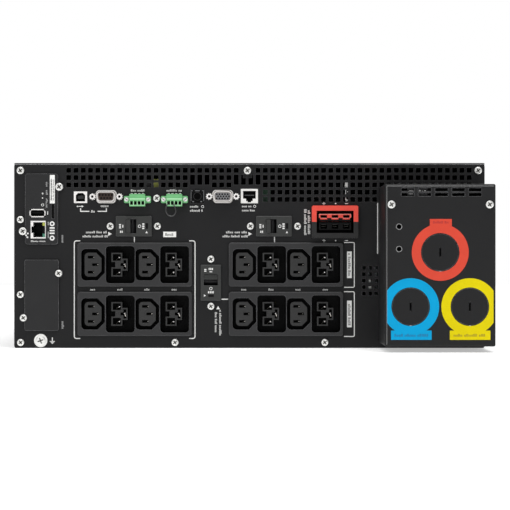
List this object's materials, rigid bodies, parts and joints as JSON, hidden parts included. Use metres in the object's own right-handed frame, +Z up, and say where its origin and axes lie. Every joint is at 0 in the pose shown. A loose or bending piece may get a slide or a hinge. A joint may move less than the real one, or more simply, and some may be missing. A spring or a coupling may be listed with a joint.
{
  "type": "rackmount ups",
  "caption": "Rack-mount uninterruptible power supply with outlet strips, rocker breakers, a mains wiring box, slide-out battery packs and snap-off front fascias.",
  "frame": {"origin": "centre of the base of the whole unit's box, at the underside of the chassis", "axes": "+Z up, +Y towards the front with the display, -Y towards the rear with the outlets, +X to the left as seen from the front"},
  "size_m": [0.4826, 0.7802, 0.173],
  "materials": {
    "chassis_black": "fine black powder coat",
    "cover_grey": "dark grey powder coat",
    "zinc_screw": "bright zinc plate",
    "bare_steel": "galvanised",
    "outlet_plastic": "moulded nylon",
    "breaker_plastic": "moulded phenolic",
    "rocker_plastic": "moulded nylon",
    "connector_metal": "nickel plate",
    "port_black": "moulded",
    "port_white": "moulded",
    "plug_green": "moulded polyamide",
    "wire_black": "PVC insulation",
    "socket_grey": "moulded polycarbonate",
    "socket_red": "moulded polycarbonate",
    "card_grey": "dark grey powder coat",
    "circuit_board": "solder mask over laminate",
    "label_vinyl": "printed vinyl",
    "terminal_plastic": "moulded phenolic",
    "heatsink_alloy": "extruded",
    "capacitor_sleeve": "shrink sleeve",
    "inductor_copper": "enamelled winding",
    "fan_plastic": "moulded",
    "battery_case": "moulded ABS",
    "bezel_plastic": "textured ABS",
    "display_glass": "clear window over a display",
    "button_plastic": "moulded"
  },
  "bodies": {
    "chassis": {"base_tray": "chassis_black", "top_cover": "chassis_black", "rear_panel": "chassis_black", "front_frame": "chassis_black", "fan_wall": "bare_steel", "rack_ear_left": "chassis_black", "rack_ear_right": "chassis_black", "ear_screws": "zinc_screw", "panel_screws": "zinc_screw", "ground_screw": "zinc_screw", "outlet_strip_1": "outlet_plastic", "outlet_strip_2": "outlet_plastic", "outlet_strip_3": "outlet_plastic", "outlet_strip_4": "outlet_plastic", "breaker_1": "breaker_plastic", "breaker_2": "breaker_plastic", "breaker_3": "breaker_plastic", "usb_port": "connector_metal", "serial_port": "connector_metal", "parallel_port": "connector_metal", "bypass_sense_port": "port_black", "battery_sense_port": "port_white", "plug_sockets": "plug_green", "battery_socket_housing": "socket_grey", "battery_socket_key": "socket_red", "wiring_posts": "bare_steel", "terminal_block": "terminal_plastic", "comm_board": "circuit_board", "power_board": "circuit_board", "heatsinks": "heatsink_alloy", "bus_capacitors": "capacitor_sleeve", "inductors": "inductor_copper", "fan_frames": "fan_plastic", "control_panel": "bezel_plastic", "display_module": "display_glass"},
    "rocker_1": {"rocker_1": "rocker_plastic"},
    "rocker_2": {"rocker_2": "rocker_plastic"},
    "rocker_3": {"rocker_3": "rocker_plastic"},
    "fan_rotor_1": {"fan_rotor_1": "fan_plastic"},
    "fan_rotor_2": {"fan_rotor_2": "fan_plastic"},
    "battery_pack_left": {"battery_tray_left": "bare_steel", "batteries_left": "battery_case"},
    "battery_pack_right": {"battery_tray_right": "bare_steel", "batteries_right": "battery_case"},
    "fascia_left": {"fascia_left": "bezel_plastic"},
    "fascia_right": {"fascia_right": "bezel_plastic"},
    "network_card": {"network_faceplate": "card_grey", "network_board": "circuit_board", "network_screws": "zinc_screw"},
    "slot_cover": {"slot_cover": "cover_grey", "slot_cover_screws": "zinc_screw"},
    "wiring_cover": {"wiring_cover": "chassis_black", "wiring_cover_screws": "zinc_screw", "ring_labels": "label_vinyl"},
    "relay_plug": {"relay_plug": "plug_green"},
    "remote_plug": {"remote_plug": "plug_green", "jumper_wire": "wire_black"},
    "button_back": {"button_back": "button_plastic"},
    "button_scroll": {"button_scroll": "button_plastic"},
    "button_enter": {"button_enter": "button_plastic"}
  },
  "joints": [
    {"name": "rocker_1_turn", "type": "hinge", "parent": "chassis", "child": "rocker_1", "pos_m": [-0.1106, -0.3013, 0.1138], "axis": [0, 0, 1], "range_deg": [0, 28]},
    {"name": "rocker_2_turn", "type": "hinge", "parent": "chassis", "child": "rocker_2", "pos_m": [0.0204, -0.3013, 0.1138], "axis": [0, 0, 1], "range_deg": [0, 28]},
    {"name": "rocker_3_turn", "type": "hinge", "parent": "chassis", "child": "rocker_3", "pos_m": [-0.036, -0.3013, 0.0636], "axis": [1, 0, 0], "range_deg": [0, 28]},
    {"name": "fan_1_spin", "type": "hinge", "parent": "chassis", "child": "fan_rotor_1", "pos_m": [-0.07, -0.049, 0.0865], "axis": [0, 1, 0], "continuous": true},
    {"name": "fan_2_spin", "type": "hinge", "parent": "chassis", "child": "fan_rotor_2", "pos_m": [0.07, -0.049, 0.0865], "axis": [0, 1, 0], "continuous": true},
    {"name": "battery_pack_left_slide", "type": "slide", "parent": "chassis", "child": "battery_pack_left", "axis": [0, 1, 0], "range_m": [0, 0.34]},
    {"name": "battery_pack_right_slide", "type": "slide", "parent": "chassis", "child": "battery_pack_right", "axis": [0, 1, 0], "range_m": [0, 0.34]},
    {"name": "fascia_left_pull", "type": "slide", "parent": "battery_pack_left", "child": "fascia_left", "axis": [0, 1, 0], "range_m": [0, 0.03]},
    {"name": "fascia_right_pull", "type": "slide", "parent": "battery_pack_right", "child": "fascia_right", "axis": [0, 1, 0], "range_m": [0, 0.03]},
    {"name": "network_card_slide", "type": "slide", "parent": "chassis", "child": "network_card", "axis": [0, -1, 0], "range_m": [0, 0.125]},
    {"name": "slot_cover_pull", "type": "slide", "parent": "chassis", "child": "slot_cover", "axis": [0, -1, 0], "range_m": [0, 0.03]},
    {"name": "wiring_cover_pull", "type": "slide", "parent": "chassis", "child": "wiring_cover", "axis": [0, -1, 0], "range_m": [0, 0.1]},
    {"name": "relay_plug_pull", "type": "slide", "parent": "chassis", "child": "relay_plug", "axis": [0, -1, 0], "range_m": [0, 0.015]},
    {"name": "remote_plug_pull", "type": "slide", "parent": "chassis", "child": "remote_plug", "axis": [0, -1, 0], "range_m": [0, 0.015]},
    {"name": "button_back_press", "type": "slide", "parent": "chassis", "child": "button_back", "axis": [0, -1, 0], "range_m": [0, 0.0012], "stiffness_N_per_m": 400},
    {"name": "button_scroll_press", "type": "slide", "parent": "chassis", "child": "button_scroll", "axis": [0, -1, 0], "range_m": [0, 0.0012], "stiffness_N_per_m": 400},
    {"name": "button_enter_press", "type": "slide", "parent": "chassis", "child": "button_enter", "axis": [0, -1, 0], "range_m": [0, 0.0012], "stiffness_N_per_m": 400}
  ]
}
